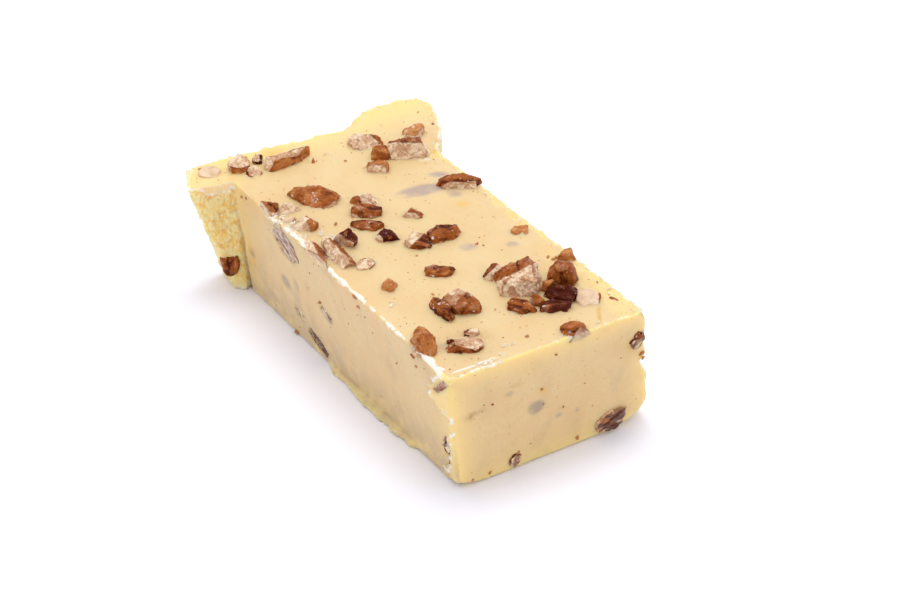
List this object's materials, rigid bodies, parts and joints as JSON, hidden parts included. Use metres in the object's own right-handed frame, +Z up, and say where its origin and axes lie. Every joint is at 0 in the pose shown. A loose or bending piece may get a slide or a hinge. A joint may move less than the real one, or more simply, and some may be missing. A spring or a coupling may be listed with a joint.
{
  "type": "pecan fudge",
  "caption": "Hand-cut bar of pale vanilla fudge with chopped pecan pieces in its top and sides and a rough poured edge at one end.",
  "frame": {"origin": "middle of the whole part's box in X and Y, on the surface that the bar rests on", "axes": "+Y along the bar from the knife-cut near end to the poured edge, +Z up through its thickness"},
  "size_m": [0.061, 0.0952, 0.0328],
  "materials": {
    "fudge": "satin",
    "pecan": "satin"
  },
  "bodies": {
    "root": {"fudge": "fudge", "pecan_01": "pecan", "pecan_02": "pecan", "pecan_03": "pecan", "pecan_04": "pecan", "pecan_05": "pecan", "pecan_06": "pecan", "pecan_07": "pecan", "pecan_08": "pecan", "pecan_09": "pecan", "pecan_10": "pecan", "pecan_11": "pecan", "pecan_12": "pecan", "pecan_13": "pecan", "pecan_14": "pecan", "pecan_15": "pecan", "pecan_16": "pecan", "pecan_17": "pecan", "pecan_18": "pecan", "pecan_19": "pecan", "pecan_20": "pecan", "pecan_21": "pecan", "pecan_22": "pecan", "pecan_23": "pecan", "pecan_24": "pecan", "pecan_25": "pecan", "pecan_26": "pecan", "pecan_27": "pecan", "pecan_28": "pecan", "pecan_29": "pecan", "pecan_30": "pecan", "pecan_31": "pecan", "pecan_32": "pecan", "pecan_33": "pecan", "pecan_34": "pecan", "pecan_35": "pecan", "pecan_36": "pecan", "pecan_37": "pecan", "pecan_38": "pecan", "pecan_39": "pecan", "pecan_40": "pecan", "pecan_41": "pecan", "pecan_42": "pecan", "pecan_43": "pecan", "pecan_44": "pecan", "pecan_45": "pecan", "pecan_46": "pecan", "pecan_47": "pecan", "pecan_48": "pecan", "pecan_49": "pecan", "pecan_50": "pecan", "pecan_51": "pecan", "pecan_52": "pecan", "pecan_53": "pecan", "pecan_54": "pecan", "pecan_55": "pecan", "pecan_56": "pecan"}
  },
  "joints": []
}
